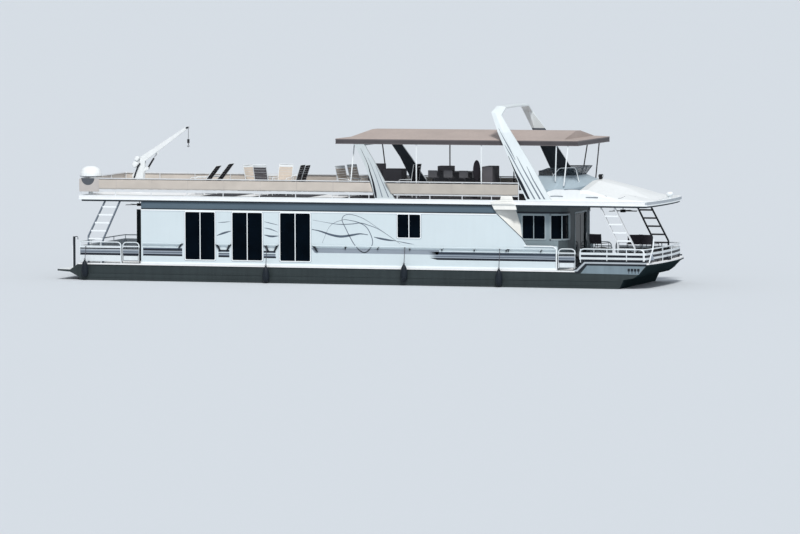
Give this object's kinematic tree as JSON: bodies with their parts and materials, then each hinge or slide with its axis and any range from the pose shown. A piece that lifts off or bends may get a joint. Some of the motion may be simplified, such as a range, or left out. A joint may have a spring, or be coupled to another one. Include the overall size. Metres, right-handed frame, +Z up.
{
  "type": "houseboat",
  "caption": "Two-deck houseboat with flat-bottomed hull, hollow cabin, railed roof deck, helm under a hardtop, deck crane and twin stern drives.",
  "frame": {"origin": "on the flat bottom of the hull, on the centreline, 11.93 m ahead of the stern platform's tip", "axes": "+X forward to the bow, +Y to port, +Z up; Z = 0 is the flat of the bottom"},
  "size_m": [23.16, 5.188, 7.0522],
  "materials": {
    "hull_charcoal": "satin",
    "deck_white": "matte",
    "wall_white": "gloss",
    "window_glass": "tinted",
    "slate_band": "satin",
    "soffit_dark": "matte",
    "moulding_white": "gloss",
    "cowl_pale": "gloss",
    "rail_metal": "satin",
    "panel_white": "gloss",
    "canvas": "woven",
    "fascia_brown": "satin",
    "hardtop_tan": "satin",
    "crane_white": "gloss",
    "ram_dark": "satin",
    "rod_steel": "polished",
    "seat_vinyl": "smooth",
    "black_plastic": "matte",
    "bar_white": "satin",
    "fender_vinyl": "matte",
    "drive_dark": "satin",
    "door_glass": "tinted"
  },
  "bodies": {
    "boat": {"hull": "hull_charcoal", "swim_platform": "hull_charcoal", "main_deck": "deck_white", "upper_deck": "deck_white", "side_wall_starboard": "wall_white", "side_wall_port": "wall_white", "aft_wall": "wall_white", "forward_cabin": "wall_white", "side_glass_starboard": "window_glass", "side_glass_port": "window_glass", "aft_wall_glass": "window_glass", "forward_glass": "window_glass", "helm_screen": "window_glass", "front_door_fixed": "door_glass", "header_band": "slate_band", "soffit": "soffit_dark", "brow": "moulding_white", "aft_arch": "moulding_white", "forward_arch": "moulding_white", "satellite_dome": "moulding_white", "helm_console": "moulding_white", "helm_cowl": "cowl_pale", "aft_rail": "rail_metal", "fore_rail_starboard": "rail_metal", "fore_rail_port": "rail_metal", "bow_rail": "rail_metal", "stern_ladder": "rail_metal", "bow_ladder_starboard": "rail_metal", "bow_ladder_port": "rail_metal", "stern_rail": "panel_white", "aft_canvas": "canvas", "fore_canvas_starboard": "canvas", "fore_canvas_port": "canvas", "hardtop_frame": "fascia_brown", "hardtop_cover": "hardtop_tan", "helm_seat": "seat_vinyl", "bar_counter": "bar_white", "fender_1": "fender_vinyl", "fender_2": "fender_vinyl", "fender_3": "fender_vinyl", "fender_4": "fender_vinyl"},
    "aft_door": {"aft_door": "door_glass"},
    "front_slider": {"front_door_slider": "door_glass"},
    "stern_gate_starboard": {"stern_gate_starboard": "panel_white"},
    "stern_gate_port": {"stern_gate_port": "panel_white"},
    "bow_gate_starboard": {"bow_gate_starboard": "panel_white"},
    "bow_gate_port": {"bow_gate_port": "panel_white"},
    "helm_wheel": {"helm_wheel": "black_plastic"},
    "crane_mast": {"crane_mast": "crane_white"},
    "crane_boom": {"crane_boom": "crane_white"},
    "crane_ram": {"crane_ram": "ram_dark"},
    "crane_rod": {"crane_rod": "rod_steel"},
    "crane_hook": {"crane_hook": "ram_dark"},
    "stern_fan": {"stern_fan": "black_plastic"},
    "bow_fan": {"bow_fan": "black_plastic"},
    "drive_starboard": {"drive_starboard": "drive_dark"},
    "drive_port": {"drive_port": "drive_dark"},
    "propeller_starboard": {"propeller_starboard": "rod_steel"},
    "propeller_port": {"propeller_port": "rod_steel"}
  },
  "joints": [
    {"name": "aft_door_hinge", "type": "hinge", "parent": "boat", "child": "aft_door", "pos_m": [-8.564, -0.834, 2], "axis": [0, 0, 1], "range_deg": [-90, 60]},
    {"name": "front_door_slide", "type": "slide", "parent": "boat", "child": "front_slider", "axis": [0, -1, 0], "range_m": [0, 0.68]},
    {"name": "stern_gate_starboard_hinge", "type": "hinge", "parent": "boat", "child": "stern_gate_starboard", "pos_m": [-9.3, -2.4, 1.5], "axis": [0, 0, 1], "range_deg": [0, 90]},
    {"name": "stern_gate_port_hinge", "type": "hinge", "parent": "boat", "child": "stern_gate_port", "pos_m": [-9.3, 2.4, 1.5], "axis": [0, 0, -1], "range_deg": [0, 90]},
    {"name": "bow_gate_starboard_hinge", "type": "hinge", "parent": "boat", "child": "bow_gate_starboard", "pos_m": [8.285, -2.4, 1.5], "axis": [0, 0, -1], "range_deg": [0, 90]},
    {"name": "bow_gate_port_hinge", "type": "hinge", "parent": "boat", "child": "bow_gate_port", "pos_m": [8.285, 2.4, 1.5], "axis": [0, 0, 1], "range_deg": [0, 90]},
    {"name": "crane_slew", "type": "hinge", "parent": "boat", "child": "crane_mast", "pos_m": [-9.535, 0, 3.752], "axis": [0, 0, 1], "range_deg": [-90, 180]},
    {"name": "crane_luff", "type": "hinge", "parent": "crane_mast", "child": "crane_boom", "pos_m": [-9.33, 0, 4.9], "axis": [0, -1, 0], "range_deg": [-15, 30]},
    {"name": "crane_ram_pivot", "type": "hinge", "parent": "crane_mast", "child": "crane_ram", "pos_m": [-9.151, 0, 4.546], "axis": [0, -1, 0], "range_deg": [-10.2, 20.1]},
    {"name": "crane_rod_slide", "type": "slide", "parent": "crane_ram", "child": "crane_rod", "axis": [0.5418, 0, 0.8405], "range_m": [-0.085, 0.169]},
    {"name": "crane_hook_swing", "type": "hinge", "parent": "crane_boom", "child": "crane_hook", "pos_m": [-7.529, 0, 6.057], "axis": [0, -1, 0], "range_deg": [-36, 60]},
    {"name": "stern_fan_spin", "type": "hinge", "parent": "boat", "child": "stern_fan", "pos_m": [-9.501, 0, 3.165], "axis": [0, 0, 1], "continuous": true},
    {"name": "bow_fan_spin", "type": "hinge", "parent": "boat", "child": "bow_fan", "pos_m": [9.41, 0, 3.165], "axis": [0, 0, 1], "continuous": true},
    {"name": "drive_starboard_steer", "type": "hinge", "parent": "boat", "child": "drive_starboard", "pos_m": [-10.49, -0.9, 0.45], "axis": [0, 0, 1], "range_deg": [-30, 30]},
    {"name": "drive_port_steer", "type": "hinge", "parent": "boat", "child": "drive_port", "pos_m": [-10.49, 0.9, 0.45], "axis": [0, 0, 1], "range_deg": [-30, 30]},
    {"name": "propeller_starboard_spin", "type": "hinge", "parent": "drive_starboard", "child": "propeller_starboard", "pos_m": [-10.862, -0.9, 0.195], "axis": [1, 0, 0], "continuous": true},
    {"name": "propeller_port_spin", "type": "hinge", "parent": "drive_port", "child": "propeller_port", "pos_m": [-10.862, 0.9, 0.195], "axis": [1, 0, 0], "continuous": true},
    {"name": "helm_wheel_turn", "type": "hinge", "parent": "boat", "child": "helm_wheel", "pos_m": [7.24, 0, 4.33], "axis": [-0.9394, 0, 0.3429], "range_deg": [-540, 540]}
  ],
  "couplings": [
    {"joint": "drive_port_steer", "follows": "drive_starboard_steer", "ratio": 1},
    {"joint": "crane_ram_pivot", "follows": "crane_luff", "ratio": 0.665},
    {"joint": "crane_rod_slide", "follows": "crane_luff", "m_per_rad": 0.32}
  ]
}
